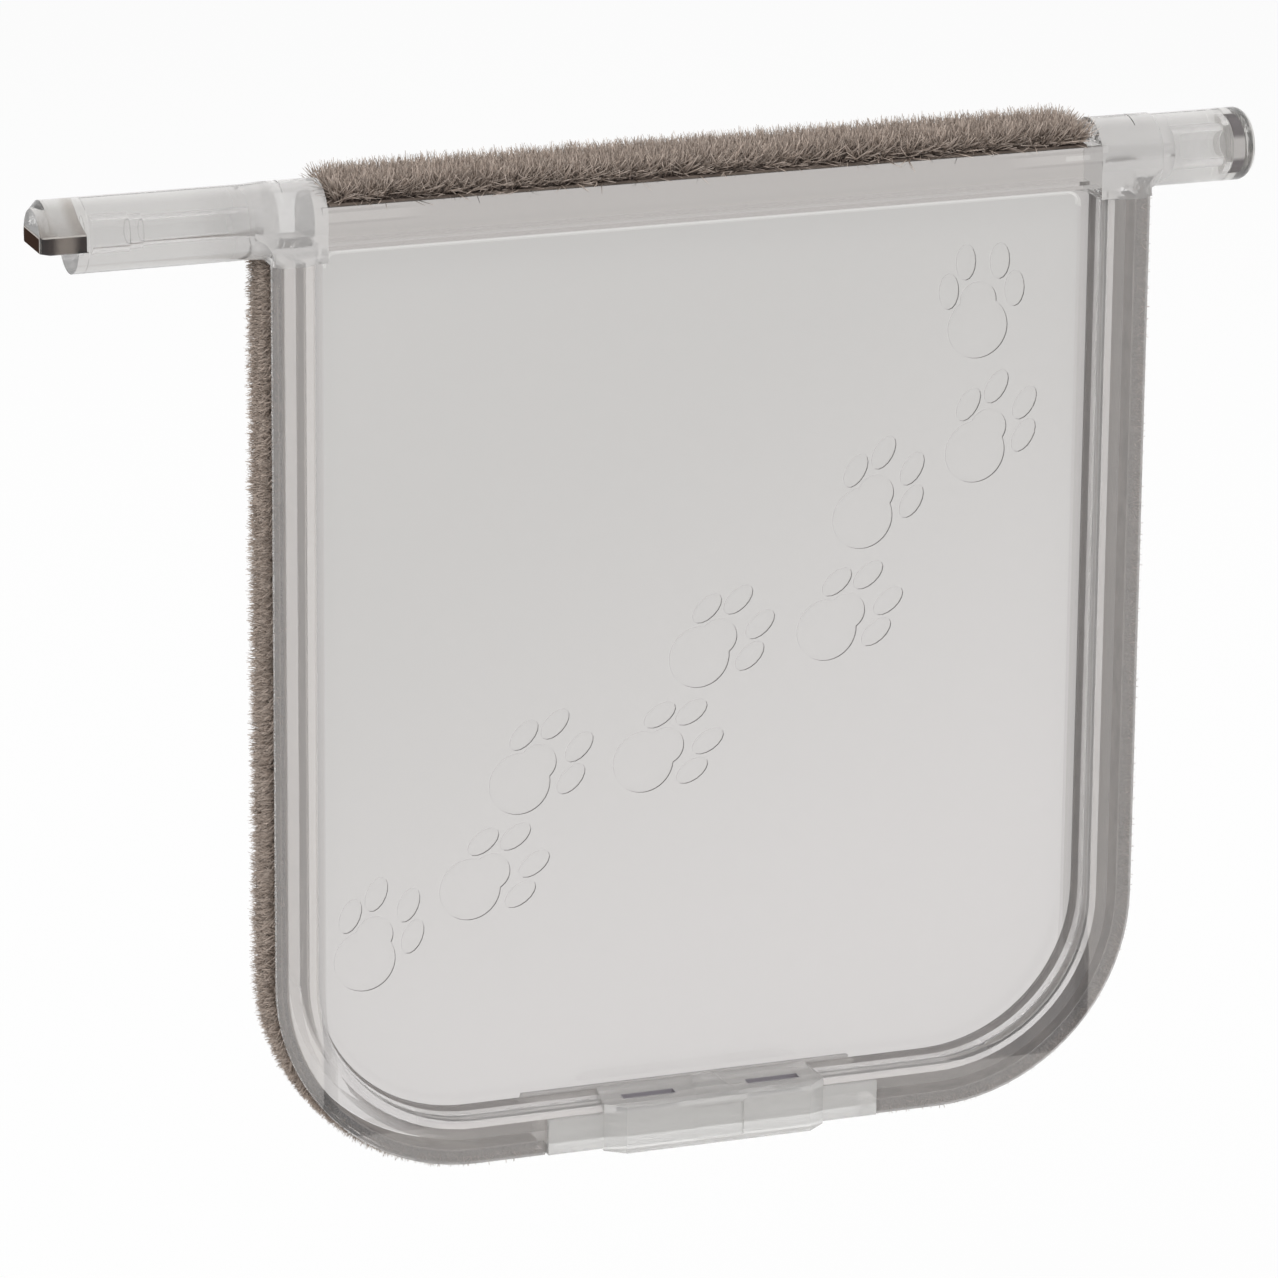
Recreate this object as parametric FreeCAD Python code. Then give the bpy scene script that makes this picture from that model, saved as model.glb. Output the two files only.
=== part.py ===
import FreeCAD, Part
import math
import os

from FreeCAD import Vector

# Cat flap leaf, in millimetres. The origin is on the hinge line at mid-width.
# +X runs along the hinge to the right pivot, +Y to the leaf's rear, +Z up.

# Leaf outline
WIDTH = 150.0
DROP = 160.5
CORNER_R = 34.2
FRONT_Y = -6.0
REAR_Y = 6.0

# Rim section. Each depth is measured inwards from the leaf's outer edge.
LIP_T = 2.54
LIP_CHAMFER = 0.8
OUTER_WALL_IN = 2.3
OUTER_WALL_OUT = 4.1
INNER_WALL_IN = 5.6
INNER_WALL_OUT = 7.4
FRONT_WALL_T = 2.0
EDGE_R = 2.2
PANEL_FILLET_R = 2.8

# Panel
PANEL_T = 2.0
PANEL_TOP_Z = -6.3
BORDER = INNER_WALL_OUT + PANEL_FILLET_R

# Top bar
BAR_TOP_Z = 2.75
BAR_BOTTOM_Z = -4.2
BAR_FILLET_R = 2.1

# Hubs and arms on the hinge line
ARM_R = 6.0
HUB_R = 6.2
HUB_X0 = 66.0
LEFT_HUB_X1 = 78.0
RIGHT_HUB_X1 = 76.9
HUB_BOTTOM_Z = -6.2
HUB_CURVE_Z = -1.6
HUB_FLARE_RISE = 2.9
LEFT_HUB_LEAD = 3.0
RIGHT_HUB_LEAD = 0.3
HUB_CORE_X0 = -73.7
HUB_CORE_X1 = -67.9
HUB_CORE_R = 4.3
ARM_UPPER_END = -104.8
ARM_LOWER_REACH = 1.7
ARM_LOWER_END = ARM_UPPER_END - ARM_LOWER_REACH
ARM_STEP_Z = -1.4
STUB_END = 89.0

# Stepped bore of the left arm, as depth from the arm's end and radius
LEFT_BORE_STEPS = ((0, 2.05), (7.4, 1.8), (9.6, 1.6))
LEFT_BORE_BACK = -75.5

# Hollows of the right stub
RIGHT_HOLLOW_R = 2.3
RIGHT_HOLLOW_X = 80.0
RIGHT_BORE_R = 1.0
RIGHT_BORE_X = 68.0

# Left pivot's plug and plate
TONGUE_LENGTH = 7.6
TONGUE_END = ARM_UPPER_END - TONGUE_LENGTH
TONGUE_BEVEL = 1.3
SPIGOT_LENGTH = 1.3
SPIGOT_END = ARM_UPPER_END + SPIGOT_LENGTH
SPIGOT_ROOT = 0.1
SPIGOT_GAP = 0.05
PLATE_HALF_Y = 4.5
PLATE_TOP_Z = 1.2
PLATE_INSET = 0.1
PLATE_INNER_X = ARM_UPPER_END - PLATE_INSET
PLATE_GAP = 0.05

# Right pivot's cap and slug
CAP_END = 93.9
CAP_EDGE_R = 2.0
CAP_SKIN = 1.6
SLUG_R = 3.1
SLUG_T = 2.0
SLUG_X1 = CAP_END - CAP_SKIN
SLUG_X0 = SLUG_X1 - SLUG_T
SLUG_GAP = 0.05

# Clip at the middle of the bottom rim. Each rise is measured up from the leaf's bottom edge.
CLIP_HALF_X = 29.0
CLIP_GAP = 0.1
CLIP_FRONT_T = 0.8
CLIP_REAR_T = 1.4
SLEEVE_BOTTOM_RISE = 0.5
BLOCK_BOTTOM_RISE = 0.1
CLIP_FRONT_RISE = 6.5
CLIP_REAR_RISE = 5.2
BLOCK_HALF_X = 19.4
BLOCK_CHAMFER_X = 3.2
BLOCK_TAPER_X = 0.9
BLOCK_FRONT_Y = -9.4
BLOCK_CHAMFER_Y = -6.9
LEDGE_FRONT_RISE = 8.1
LEDGE_REAR_RISE = 8.9
LEDGE_REAR_Y = -0.4
SADDLE_OUTER_Y = -4.6
SADDLE_INNER_Y = -2.6
SADDLE_RISE = 7.6
SADDLE_END_Y = -1.35
SADDLE_END_RISE = 8.0
GROOVE_END_INSET = 3.9
GROOVE_LENGTH = 9.1
GROOVE_FRONT_Y = -5.8
GROOVE_REAR_Y = -4.3
GROOVE_RISE = 7.95
PLAQUE_HALF_X = 4.3
PLAQUE_DEPTH = 0.3
PLAQUE_LOW_RISE = 1.0
PLAQUE_HIGH_RISE = 6.9
WEDGE_HALF_FRONT = 4.0
WEDGE_HALF_REAR = 1.9
WEDGE_REAR_Y = -0.9
WEDGE_ROOT = 0.5
WEDGE_RISE = 0.5

# Pile strips
PILE_OUT = -0.8
PILE_LIP_GAP = 0.2
PILE_TOP_Z = -7.0
PILE_CLIP_GAP = 1.0
PILE_STOP_X = CLIP_HALF_X + PILE_CLIP_GAP
PILE_CHAMFER = 0.6
TOP_PILE_END_GAP = 0.4
TOP_PILE_HALF_X = HUB_X0 - TOP_PILE_END_GAP
TOP_PILE_FRONT_Y = -5.4
TOP_PILE_TIP_Z = 7.4
TOP_PILE_CREST_R = 1.6

# Prints sunk in the panel's front, as X, Z and turn in degrees clockwise
PRINT_DEPTH = 0.3
PAD_R = 5.25
LOBE_R = 3.2
LOBE_UP = 4.5
TOE_HALF_W = 1.75
TOE_HALF_L = 3.05
TOE_SIDES = 16
TOES = ((-5.2, 6.4), (-2.3, 11.1), (3.7, 10.9), (6.4, 6.1))
PRINTS = (
    (47.2, -27.5, 0),
    (47.2, -48.6, 30),
    (27.5, -58.1, 30),
    (21.5, -76.7, 51),
    (-0.8, -79.1, 48),
    (-10.4, -96.1, 59),
    (-31.8, -97.6, 44),
    (-40.3, -114.8, 55),
    (-58.4, -125.0, 22),
)


def box(x0, x1, y0, y1, z0, z1):
    return Part.makeBox(x1 - x0, y1 - y0, z1 - z0, Vector(x0, y0, z0))


def rod(x0, x1, r):
    return Part.makeCylinder(r, x1 - x0, Vector(x0, 0, 0), Vector(1, 0, 0))


def mirrored(shape):
    return shape.mirror(Vector(0, 0, 0), Vector(1, 0, 0))


def joined(shapes):
    return shapes[0].fuse(shapes[1:]).removeSplitter()


def prism_x(points, x0, x1):
    """Extrude a closed Y, Z polygon along X."""
    corners = [Vector(x0, y, z) for y, z in points]
    face = Part.Face(Part.makePolygon(corners + corners[:1]))
    return face.extrude(Vector(x1 - x0, 0, 0))


def rim_face():
    """The rim's section at the left edge, in the plane Z = 0."""
    edge = -WIDTH / 2

    def at(depth, y):
        return Vector(edge + depth, y, 0)

    s = math.sqrt(0.5)
    lip_back = FRONT_Y + LIP_T
    front_in = FRONT_Y + FRONT_WALL_T
    round_x = INNER_WALL_OUT - EDGE_R
    round_y = FRONT_Y + EDGE_R
    fillet_x = INNER_WALL_OUT + PANEL_FILLET_R
    edges = [
        Part.makeLine(at(0, FRONT_Y + LIP_CHAMFER), at(LIP_CHAMFER, FRONT_Y)),
        Part.makeLine(at(LIP_CHAMFER, FRONT_Y), at(round_x, FRONT_Y)),
        Part.Arc(
            at(round_x, FRONT_Y),
            at(round_x + EDGE_R * s, round_y - EDGE_R * s),
            at(INNER_WALL_OUT, round_y),
        ).toShape(),
        Part.makeLine(at(INNER_WALL_OUT, round_y), at(INNER_WALL_OUT, -PANEL_FILLET_R)),
        Part.Arc(
            at(INNER_WALL_OUT, -PANEL_FILLET_R),
            at(fillet_x - PANEL_FILLET_R * s, -PANEL_FILLET_R + PANEL_FILLET_R * s),
            at(fillet_x, 0),
        ).toShape(),
    ]
    corners = [
        at(fillet_x, 0),
        at(fillet_x, PANEL_T),
        at(INNER_WALL_IN, PANEL_T),
        at(INNER_WALL_IN, front_in),
        at(OUTER_WALL_OUT, front_in),
        at(OUTER_WALL_OUT, REAR_Y),
        at(OUTER_WALL_IN, REAR_Y),
        at(OUTER_WALL_IN, lip_back),
        at(LIP_CHAMFER, lip_back),
        at(0, lip_back - LIP_CHAMFER),
        at(0, FRONT_Y + LIP_CHAMFER),
    ]
    for start, end in zip(corners, corners[1:]):
        edges.append(Part.makeLine(start, end))
    return Part.Face(Part.Wire(edges))


def swept_left(face, top_z, stop_x):
    """Run a left-edge section down from top_z, round the corner and along the bottom to stop_x."""
    corner_z = -DROP + CORNER_R
    corner_x = -WIDTH / 2 + CORNER_R
    side = face.copy()
    side.translate(Vector(0, 0, corner_z))
    straight = side.extrude(Vector(0, 0, top_z - corner_z))
    pivot = Vector(corner_x, 0, corner_z)
    bend = side.revolve(pivot, Vector(0, 1, 0), -90)
    foot = side.copy()
    foot.rotate(pivot, Vector(0, 1, 0), -90)
    bottom = foot.extrude(Vector(stop_x - corner_x, 0, 0))
    return [straight, bend, bottom]


def rim():
    half = joined(swept_left(rim_face(), BAR_BOTTOM_Z, 0))
    return [half, mirrored(half)]


def panel_plate():
    """The flat panel, as wide as the rim's inner fillets leave it."""
    half = WIDTH / 2 - BORDER
    r = CORNER_R - BORDER
    bottom = -DROP + BORDER
    s = math.sqrt(0.5)

    def at(x, z):
        return Vector(x, 0, z)

    edges = [
        Part.makeLine(at(-half, BAR_BOTTOM_Z), at(-half, bottom + r)),
        Part.Arc(at(-half, bottom + r), at(-half + r - r * s, bottom + r - r * s), at(-half + r, bottom)).toShape(),
        Part.makeLine(at(-half + r, bottom), at(half - r, bottom)),
        Part.Arc(at(half - r, bottom), at(half - r + r * s, bottom + r - r * s), at(half, bottom + r)).toShape(),
        Part.makeLine(at(half, bottom + r), at(half, BAR_BOTTOM_Z)),
        Part.makeLine(at(half, BAR_BOTTOM_Z), at(-half, BAR_BOTTOM_Z)),
    ]
    return Part.Face(Part.Wire(edges)).extrude(Vector(0, PANEL_T, 0))


def top_bar():
    """The solid bar between the hubs, with a fillet down to the panel."""
    x0 = -HUB_X0 - 1
    s = math.sqrt(0.5)

    def at(y, z):
        return Vector(x0, y, z)

    edges = [
        Part.Arc(
            at(-BAR_FILLET_R, BAR_BOTTOM_Z),
            at(-BAR_FILLET_R + BAR_FILLET_R * s, PANEL_TOP_Z + BAR_FILLET_R * s),
            at(0, PANEL_TOP_Z),
        ).toShape()
    ]
    corners = [
        at(0, PANEL_TOP_Z),
        at(PANEL_T, PANEL_TOP_Z),
        at(PANEL_T, BAR_BOTTOM_Z),
        at(REAR_Y, BAR_BOTTOM_Z),
        at(REAR_Y, BAR_TOP_Z),
        at(FRONT_Y, BAR_TOP_Z),
        at(FRONT_Y, BAR_BOTTOM_Z),
        at(-BAR_FILLET_R, BAR_BOTTOM_Z),
    ]
    for start, end in zip(corners, corners[1:]):
        edges.append(Part.makeLine(start, end))
    return Part.Face(Part.Wire(edges)).extrude(Vector(-2 * x0, 0, 0))


def hub_left(reach, lead):
    """A round collar on a block whose outer side curves in from the arm to the leaf's edge."""
    cone = Part.makeCone(ARM_R, HUB_R, lead, Vector(-reach, 0, 0), Vector(1, 0, 0))
    collar = rod(-reach + lead, -HUB_X0, HUB_R).fuse(cone)
    block = box(-reach, -HUB_X0, FRONT_Y, REAR_Y, HUB_BOTTOM_Z, 0)
    start = Vector(-WIDTH / 2, -HUB_R, HUB_BOTTOM_Z)
    end = Vector(-reach, -HUB_R, HUB_CURVE_Z)
    flare = reach - WIDTH / 2
    middle = Vector(-WIDTH / 2 - flare / 6, -HUB_R, HUB_BOTTOM_Z + HUB_FLARE_RISE)
    edges = [
        Part.Arc(start, middle, end).toShape(),
        Part.makeLine(end, Vector(-reach, -HUB_R, HUB_R)),
        Part.makeLine(Vector(-reach, -HUB_R, HUB_R), Vector(-HUB_X0, -HUB_R, HUB_R)),
        Part.makeLine(Vector(-HUB_X0, -HUB_R, HUB_R), Vector(-HUB_X0, -HUB_R, HUB_BOTTOM_Z)),
        Part.makeLine(Vector(-HUB_X0, -HUB_R, HUB_BOTTOM_Z), start),
    ]
    side = Part.Face(Part.Wire(edges)).extrude(Vector(0, 2 * HUB_R, 0))
    return collar.fuse(block.common(side))


def left_hub_core():
    """The hollow that keeps the thick left hub thin walled, open to the rear."""
    drum = rod(HUB_CORE_X0, HUB_CORE_X1, HUB_CORE_R)
    mouth = box(HUB_CORE_X0, HUB_CORE_X1, 0, REAR_Y + 1, -HUB_CORE_R, HUB_CORE_R)
    return drum.fuse(mouth)


def left_arm():
    lower = rod(ARM_LOWER_END, -HUB_X0, ARM_R)
    notch = box(ARM_LOWER_END - 1, ARM_UPPER_END, -ARM_R - 1, ARM_R + 1, ARM_STEP_Z, ARM_R + 1)
    return lower.cut(notch)


def left_bore():
    """The stepped core, with its small end inside the hub."""
    pieces = [rod(ARM_LOWER_END - 1, ARM_UPPER_END, LEFT_BORE_STEPS[0][1])]
    starts = [ARM_UPPER_END + depth for depth, r in LEFT_BORE_STEPS]
    ends = starts[1:] + [LEFT_BORE_BACK]
    for start, end, step in zip(starts, ends, LEFT_BORE_STEPS):
        pieces.append(rod(start, end, step[1]))
    return joined(pieces)


def right_bore():
    wide = rod(RIGHT_HOLLOW_X, STUB_END + 1, RIGHT_HOLLOW_R)
    narrow = rod(RIGHT_BORE_X, RIGHT_HOLLOW_X, RIGHT_BORE_R)
    return wide.fuse(narrow)


def print_mark(x, z, turn):
    """The cutters of one sunken print: a rounded pad with a lobe, and four toes."""
    up = Vector(0, -1, 0)
    base = Vector(0, PRINT_DEPTH, 0)
    height = 2 * PRINT_DEPTH
    pad = Part.makeCylinder(PAD_R, height, base, up)
    lobe = Part.makeCylinder(LOBE_R, height, base + Vector(0, 0, LOBE_UP), up)
    pieces = [pad.fuse(lobe).removeSplitter()]
    for toe_x, toe_z in TOES:
        centre = base + Vector(toe_x, 0, toe_z)
        oval = []
        for side in range(TOE_SIDES + 1):
            angle = 2 * math.pi * side / TOE_SIDES
            oval.append(centre + Vector(TOE_HALF_W * math.sin(angle), 0, TOE_HALF_L * math.cos(angle)))
        pieces.append(Part.Face(Part.makePolygon(oval)).extrude(up * height))
    for piece in pieces:
        piece.rotate(Vector(0, 0, 0), Vector(0, 1, 0), turn)
        piece.translate(Vector(x, 0, z))
    return pieces


def clip_seat():
    """The lip and the ends of the pile give way to the clip at the middle of the bottom rim."""
    half = CLIP_HALF_X + CLIP_GAP
    return box(-half, half, FRONT_Y - 1, REAR_Y + 1, -DROP - 1, -DROP + OUTER_WALL_IN)


def leaf():
    """The clear moulding."""
    shapes = rim() + [
        panel_plate(),
        top_bar(),
        hub_left(LEFT_HUB_X1, LEFT_HUB_LEAD),
        mirrored(hub_left(RIGHT_HUB_X1, RIGHT_HUB_LEAD)),
        left_arm(),
        rod(HUB_X0, STUB_END, ARM_R),
    ]
    cutters = [left_bore(), left_hub_core(), right_bore(), clip_seat()]
    for mark in PRINTS:
        cutters.extend(print_mark(*mark))
    return joined(shapes).cut(cutters)


def left_pivot_plug():
    """The half-round tongue, its slot for the plate, and the spigot in the arm's bore."""
    tongue = rod(TONGUE_END, ARM_UPPER_END, ARM_R)
    tip = tongue.Edges[0]
    for edge in tongue.Edges:
        centre = edge.BoundBox.Center
        if abs(centre.x - TONGUE_END) < 0.01 and edge.BoundBox.YLength > ARM_R:
            tip = edge
    tongue = tongue.makeChamfer(TONGUE_BEVEL, [tip])
    tongue = tongue.cut(
        box(TONGUE_END - 1, ARM_UPPER_END + 1, -ARM_R - 1, ARM_R + 1, -ARM_R - 1, ARM_STEP_Z)
    )
    slot = box(TONGUE_END - 1, PLATE_INNER_X, -PLATE_HALF_Y, PLATE_HALF_Y, ARM_STEP_Z - 1, PLATE_TOP_Z)
    bore_r = LEFT_BORE_STEPS[0][1]
    spigot = rod(ARM_UPPER_END - SPIGOT_ROOT, SPIGOT_END, bore_r - SPIGOT_GAP)
    keep = box(ARM_LOWER_END, SPIGOT_END + 1, -ARM_R, ARM_R, ARM_STEP_Z, ARM_R)
    return tongue.cut(slot).fuse(spigot.common(keep)).removeSplitter()


def left_pivot_plate():
    half_y = PLATE_HALF_Y - PLATE_GAP
    inner_x = PLATE_INNER_X - PLATE_GAP
    return box(TONGUE_END, inner_x, -half_y, half_y, ARM_STEP_Z, PLATE_TOP_Z - PLATE_GAP)


def right_pivot_cap():
    dome = rod(STUB_END, CAP_END, ARM_R)
    rims = []
    for edge in dome.Edges:
        box_ = edge.BoundBox
        if abs(box_.XMin - CAP_END) < 0.01 and box_.YLength > ARM_R:
            rims.append(edge)
    dome = dome.makeFillet(CAP_EDGE_R, rims)
    return dome.cut(rod(STUB_END - 1, SLUG_X1 + SLUG_GAP, SLUG_R + SLUG_GAP))


def right_pivot_slug():
    return rod(SLUG_X0, SLUG_X1, SLUG_R)


def pile_face():
    """The side pile's section, behind the lip and against the outer wall."""
    edge = -WIDTH / 2
    y0 = FRONT_Y + LIP_T + PILE_LIP_GAP
    y1 = REAR_Y
    corners = [
        (OUTER_WALL_IN, y1),
        (OUTER_WALL_IN, y0),
        (PILE_OUT + PILE_CHAMFER, y0),
        (PILE_OUT, y0 + PILE_CHAMFER),
        (PILE_OUT, y1 - PILE_CHAMFER),
        (PILE_OUT + PILE_CHAMFER, y1),
        (OUTER_WALL_IN, y1),
    ]
    return Part.Face(Part.makePolygon([Vector(edge + depth, y, 0) for depth, y in corners]))


def left_brush_strip():
    return joined(swept_left(pile_face(), PILE_TOP_Z, -PILE_STOP_X))


def top_brush_strip():
    """The pile strip on the bar, rounded along its two upper edges."""
    y0 = TOP_PILE_FRONT_Y
    y1 = -TOP_PILE_FRONT_Y
    strip = box(-TOP_PILE_HALF_X, TOP_PILE_HALF_X, y0, y1, BAR_TOP_Z, TOP_PILE_TIP_Z)
    crests = []
    for edge in strip.Edges:
        bounds = edge.BoundBox
        if bounds.XLength > TOP_PILE_HALF_X and bounds.ZMin > BAR_TOP_Z + 1:
            crests.append(edge)
    return strip.makeFillet(TOP_PILE_CREST_R, crests)


def above_edge(rise):
    """The Z of a height above the leaf's bottom edge."""
    return -DROP + rise


def clip_sleeve():
    """The U that grips the bottom rim's outer wall from below, taller in front."""
    bottom_z = above_edge(SLEEVE_BOTTOM_RISE)
    floor_z = above_edge(OUTER_WALL_IN - CLIP_GAP)
    front_top = above_edge(CLIP_FRONT_RISE)
    rear_top = above_edge(CLIP_REAR_RISE)
    front_y = FRONT_Y - CLIP_GAP
    rear_y = REAR_Y + CLIP_GAP
    section = [
        (front_y - CLIP_FRONT_T, bottom_z),
        (rear_y + CLIP_REAR_T, bottom_z),
        (rear_y + CLIP_REAR_T, rear_top),
        (rear_y, rear_top),
        (rear_y, floor_z),
        (front_y, floor_z),
        (front_y, front_top),
        (front_y - CLIP_FRONT_T, front_top),
    ]
    return prism_x(section, -CLIP_HALF_X, CLIP_HALF_X)


def clip_block():
    """The block in front of the rim, with a ledge that saddles the rim back to the panel."""
    bottom_z = above_edge(BLOCK_BOTTOM_RISE)
    front_y = FRONT_Y - CLIP_GAP
    section = [
        (BLOCK_FRONT_Y, bottom_z),
        (front_y, bottom_z),
        (front_y, above_edge(CLIP_FRONT_RISE)),
        (SADDLE_OUTER_Y, above_edge(SADDLE_RISE)),
        (SADDLE_INNER_Y, above_edge(SADDLE_RISE)),
        (SADDLE_END_Y, above_edge(SADDLE_END_RISE)),
        (LEDGE_REAR_Y, above_edge(LEDGE_REAR_RISE)),
        (BLOCK_FRONT_Y, above_edge(LEDGE_FRONT_RISE)),
    ]
    block = prism_x(section, -BLOCK_HALF_X, BLOCK_HALF_X)
    face_half = BLOCK_HALF_X - BLOCK_CHAMFER_X
    rear_half = BLOCK_HALF_X - BLOCK_TAPER_X
    plan = [
        Vector(-face_half, BLOCK_FRONT_Y, -DROP),
        Vector(face_half, BLOCK_FRONT_Y, -DROP),
        Vector(BLOCK_HALF_X, BLOCK_CHAMFER_Y, -DROP),
        Vector(rear_half, LEDGE_REAR_Y, -DROP),
        Vector(-rear_half, LEDGE_REAR_Y, -DROP),
        Vector(-BLOCK_HALF_X, BLOCK_CHAMFER_Y, -DROP),
    ]
    outline = Part.Face(Part.makePolygon(plan + plan[:1]))
    return block.common(outline.extrude(Vector(0, 0, 2 * LEDGE_REAR_RISE)))


def clip_wedge():
    """The low rib on the ledge, wider at the front."""
    front_z = above_edge(LEDGE_FRONT_RISE)
    rear_z = above_edge(LEDGE_REAR_RISE)
    front = [
        Vector(-WEDGE_HALF_FRONT, BLOCK_FRONT_Y, front_z - WEDGE_ROOT),
        Vector(WEDGE_HALF_FRONT, BLOCK_FRONT_Y, front_z - WEDGE_ROOT),
        Vector(WEDGE_HALF_FRONT, BLOCK_FRONT_Y, front_z),
        Vector(-WEDGE_HALF_FRONT, BLOCK_FRONT_Y, front_z),
    ]
    rear = [
        Vector(-WEDGE_HALF_REAR, WEDGE_REAR_Y, rear_z - WEDGE_ROOT),
        Vector(WEDGE_HALF_REAR, WEDGE_REAR_Y, rear_z - WEDGE_ROOT),
        Vector(WEDGE_HALF_REAR, WEDGE_REAR_Y, rear_z + WEDGE_RISE),
        Vector(-WEDGE_HALF_REAR, WEDGE_REAR_Y, rear_z + WEDGE_RISE),
    ]
    wires = [Part.makePolygon(front + front[:1]), Part.makePolygon(rear + rear[:1])]
    return Part.makeLoft(wires, True, True)


def clip_groove():
    """A groove across the ledge beside the wedge."""
    outer_x = BLOCK_HALF_X - GROOVE_END_INSET
    floor_z = above_edge(GROOVE_RISE)
    top_z = above_edge(2 * LEDGE_REAR_RISE)
    return box(outer_x - GROOVE_LENGTH, outer_x, GROOVE_FRONT_Y, GROOVE_REAR_Y, floor_z, top_z)


def clip_plaque():
    """The bare panel sunk in the block's front face."""
    low_z = above_edge(PLAQUE_LOW_RISE)
    high_z = above_edge(PLAQUE_HIGH_RISE)
    back_y = BLOCK_FRONT_Y + PLAQUE_DEPTH
    return box(-PLAQUE_HALF_X, PLAQUE_HALF_X, BLOCK_FRONT_Y - 1, back_y, low_z, high_z)


def bottom_clip():
    groove = clip_groove()
    body = joined([clip_sleeve(), clip_block(), clip_wedge()])
    return body.cut([groove, mirrored(groove), clip_plaque()]).removeSplitter()


def write(name, shape):
    solids = shape.Solids
    assert len(solids) == 1, (name, len(solids))
    assert shape.isValid() and solids[0].isClosed(), name
    solids[0].exportStep("parts/" + name + ".step")
    print(name, round(solids[0].Volume, 1), len(solids[0].Faces))


os.makedirs("parts", exist_ok=True)
left_strip = left_brush_strip()
write("leaf", leaf())
write("left_pivot_plug", left_pivot_plug())
write("left_pivot_plate", left_pivot_plate())
write("right_pivot_cap", right_pivot_cap())
write("right_pivot_slug", right_pivot_slug())
write("top_brush_strip", top_brush_strip())
write("left_brush_strip", left_strip)
write("right_brush_strip", mirrored(left_strip))
write("bottom_clip", bottom_clip())
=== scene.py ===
# %% [markdown]
# # Cat flap leaf
# This lesson dresses a finished CAD part: the clear swinging leaf of a cat flap, with its two
# pivots, its pile draught strips and the clip on its bottom rim. The shapes of the rigid pieces
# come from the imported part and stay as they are. The lesson adds a camera, light, materials and
# real pile. Lengths are in metres, with +X to the right pivot, +Y to the rear and +Z up, and the
# origin lies on the hinge line at mid-width.

import math

import bmesh
import bpy
from mathutils import Matrix, Vector


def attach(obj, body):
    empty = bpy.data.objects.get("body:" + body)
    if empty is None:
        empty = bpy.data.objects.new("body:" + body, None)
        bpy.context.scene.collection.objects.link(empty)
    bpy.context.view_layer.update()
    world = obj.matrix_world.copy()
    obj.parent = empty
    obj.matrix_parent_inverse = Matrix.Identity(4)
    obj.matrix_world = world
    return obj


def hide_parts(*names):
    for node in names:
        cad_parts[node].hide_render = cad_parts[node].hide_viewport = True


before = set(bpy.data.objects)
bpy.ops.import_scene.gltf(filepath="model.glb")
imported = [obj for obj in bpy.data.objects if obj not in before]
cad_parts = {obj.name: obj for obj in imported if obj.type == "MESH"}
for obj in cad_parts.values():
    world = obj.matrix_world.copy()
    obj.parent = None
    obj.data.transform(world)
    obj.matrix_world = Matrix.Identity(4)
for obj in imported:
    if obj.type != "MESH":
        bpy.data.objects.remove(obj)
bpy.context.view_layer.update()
MM = 0.001
print("nodes:", sorted(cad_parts))

# %% [markdown]
# ## Camera
# The leaf hangs a little turned, seen from its left and from above. A camera could be placed by
# eye, but then each edge would be a few pixels off. Here its angles, distance and focal length
# come from a least-squares fit to the straight edges of the picture. The aim point lies 70 mm
# below the hinge line, and two small shifts slide the camera sideways and up.

# %% Fitted view
YAW = math.radians(-20.398)
ELEVATION = math.radians(17.161)
ROLL = math.radians(0.483)
DISTANCE = 1.21581
AIM = Vector((0, 0, -0.070))
SHIFT_RIGHT = -0.010706
SHIFT_UP = -0.005822
FOCAL_IN_FRAMES = 5.84122
print("the picture is", round(DISTANCE / FOCAL_IN_FRAMES, 3), "m wide at the leaf")

# %% Place the camera
SENSOR = 36.0
FAR_END = 20

back = Vector(
    (
        math.sin(YAW) * math.cos(ELEVATION),
        -math.cos(YAW) * math.cos(ELEVATION),
        math.sin(ELEVATION),
    )
)
level = Vector((math.cos(YAW), math.sin(YAW), 0))
upright = back.cross(level)
right = level * math.cos(ROLL) + upright * math.sin(ROLL)
up = upright * math.cos(ROLL) - level * math.sin(ROLL)
eye = AIM + back * DISTANCE + right * SHIFT_RIGHT + up * SHIFT_UP

camera = bpy.data.objects.new("camera", bpy.data.cameras.new("camera"))
bpy.context.scene.collection.objects.link(camera)
camera.matrix_world = Matrix(
    (
        (right.x, up.x, back.x, eye.x),
        (right.y, up.y, back.y, eye.y),
        (right.z, up.z, back.z, eye.z),
        (0, 0, 0, 1),
    )
)
camera.data.sensor_width = SENSOR
camera.data.lens = FOCAL_IN_FRAMES * SENSOR
camera.data.clip_end = FAR_END
bpy.context.scene.camera = camera
bpy.context.scene.view_settings.view_transform = "Standard"
print("camera at", [round(c, 4) for c in eye])

# %% [markdown]
# ## Colours and nodes
# Blender's shaders work with linear colours, while a colour picker shows sRGB. Writing each
# colour as an sRGB hex code keeps it easy to compare with the picture, so one function turns the
# codes to linear. A second one adds a node, sets its properties, and sets or links its inputs.
# Trees could also be wired by hand in the editor, but a script can be read and run again.


# %% Turn hex colours to linear
def colour(code):
    """An sRGB hex code as a linear RGBA colour."""
    channels = []
    for i in (1, 3, 5):
        v = int(code[i : i + 2], 16) / 255
        channels.append(v / 12.92 if v <= 0.04045 else ((v + 0.055) / 1.055) ** 2.4)
    return (*channels, 1.0)


print("mid grey #808080 is", round(colour("#808080")[0], 3), "in linear light")

# %% Add a node
MATH = "ShaderNodeMath"
RANGE = "ShaderNodeMapRange"
SMOOTH = {"interpolation_type": "SMOOTHSTEP"}


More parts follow.
